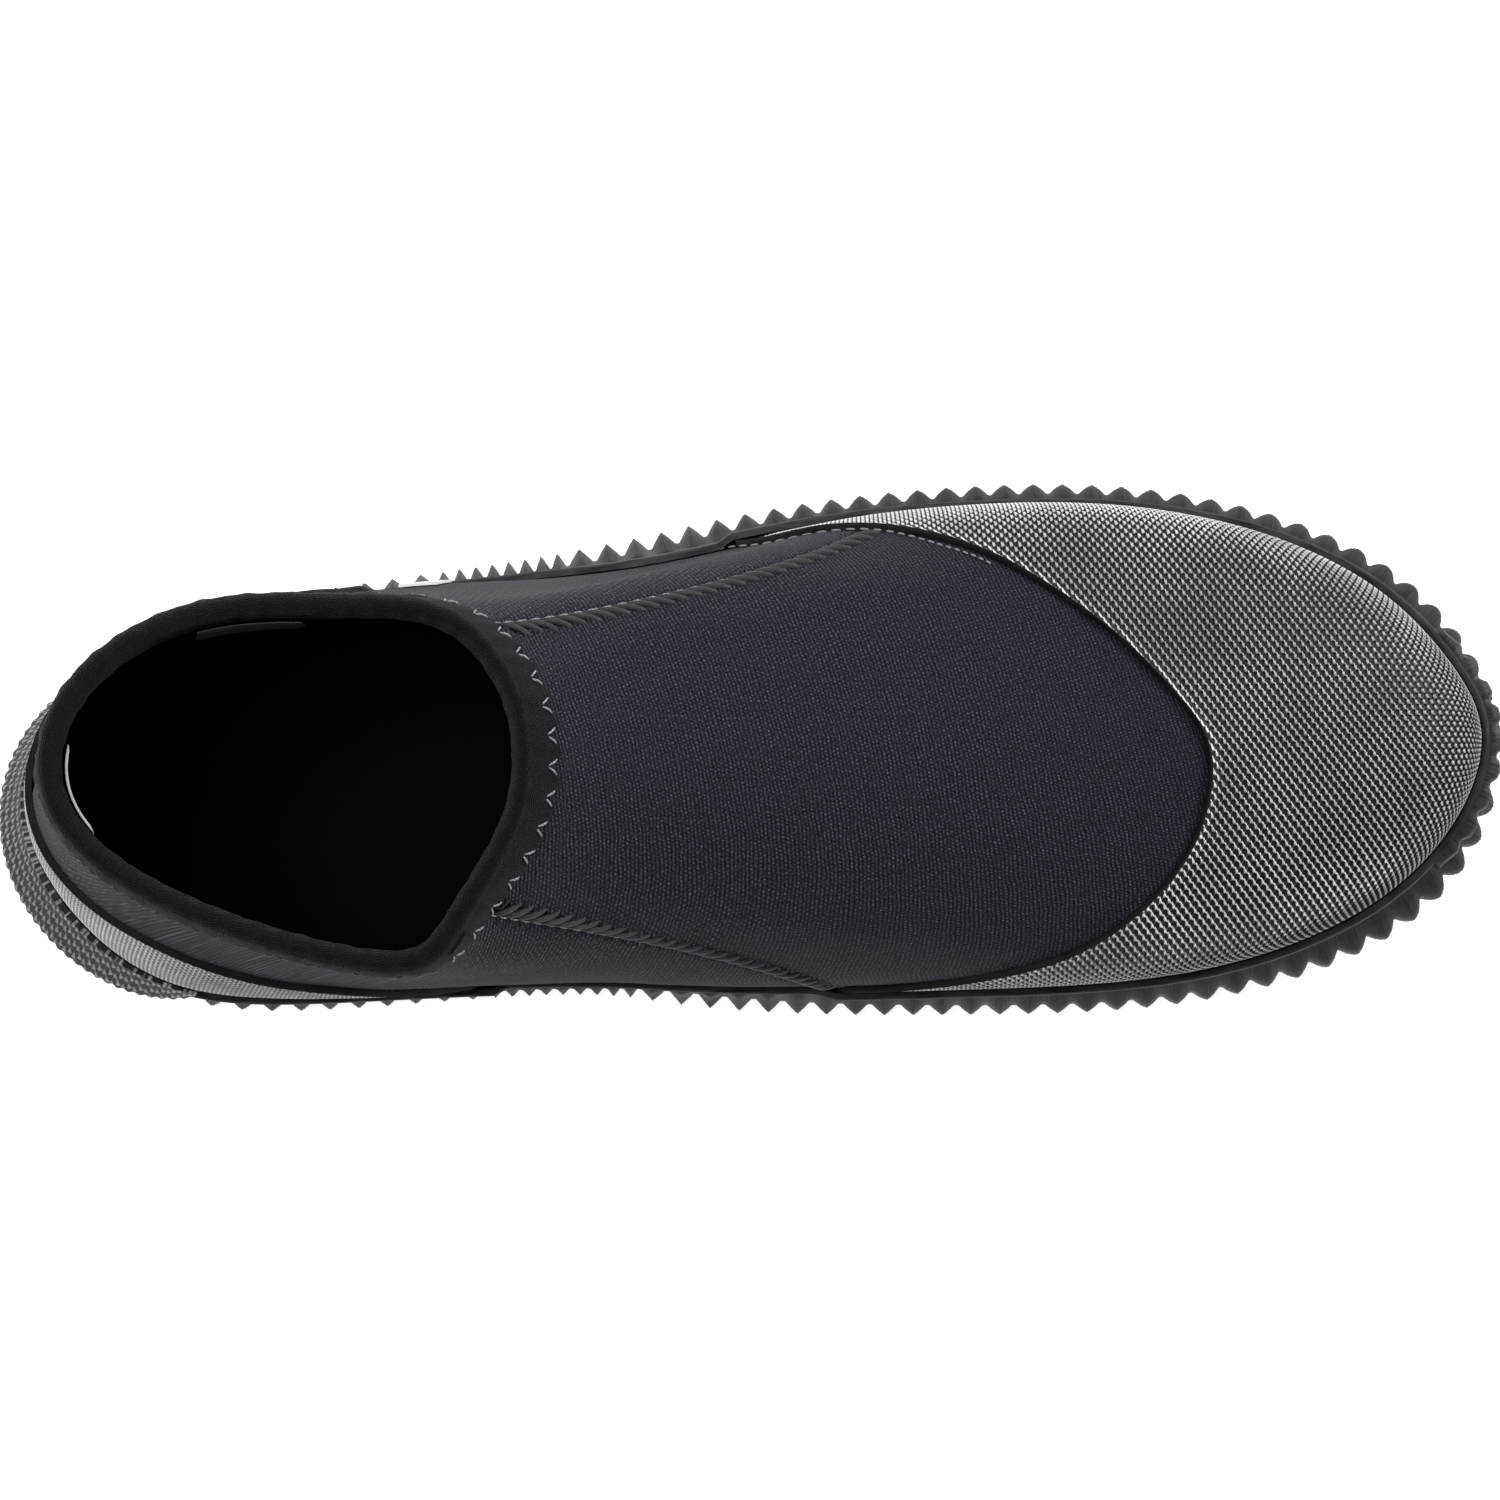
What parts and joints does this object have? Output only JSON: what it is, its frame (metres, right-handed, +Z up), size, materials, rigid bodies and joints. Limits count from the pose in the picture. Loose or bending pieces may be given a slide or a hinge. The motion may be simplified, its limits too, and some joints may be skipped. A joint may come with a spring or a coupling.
{
  "type": "neoprene boot",
  "caption": "Low-cut slip-on neoprene water boot, left foot, with rubber toe and heel caps and a toothed rubber sole.",
  "frame": {"origin": "the middle of the boot's box in plan, on the ground it stands on", "axes": "+X to the toe, +Y to the outer side of the foot, +Z up"},
  "size_m": [0.287, 0.1032, 0.1032],
  "materials": {
    "sole_rubber": "satin",
    "foxing_rubber": "satin",
    "embossed_rubber": "satin",
    "neoprene": "matt knit",
    "foam": "matt",
    "stretch_binding": "matt knit",
    "seam_tape": "matt",
    "black_thread": "sheen",
    "pale_thread": "sheen",
    "white_label": "matt",
    "grey_label": "woven"
  },
  "bodies": {
    "root": {"outsole": "sole_rubber", "midsole": "foam", "strobel_sock": "foam", "insole": "foam", "foxing_band": "foxing_rubber", "toe_bumper": "foxing_rubber", "toe_cap": "embossed_rubber", "heel_cap": "embossed_rubber", "heel_strap_stop": "embossed_rubber", "vamp_panel": "neoprene", "lateral_quarter": "neoprene", "medial_quarter": "neoprene", "lateral_seam_stitch": "black_thread", "medial_seam_stitch": "black_thread", "lateral_seam_tape": "seam_tape", "medial_seam_tape": "seam_tape", "heel_seam_tape": "seam_tape", "collar_binding": "stretch_binding", "collar_stitch": "pale_thread", "binding_join": "stretch_binding", "size_label": "white_label", "woven_label": "grey_label", "side_badge": "white_label"}
  },
  "joints": []
}
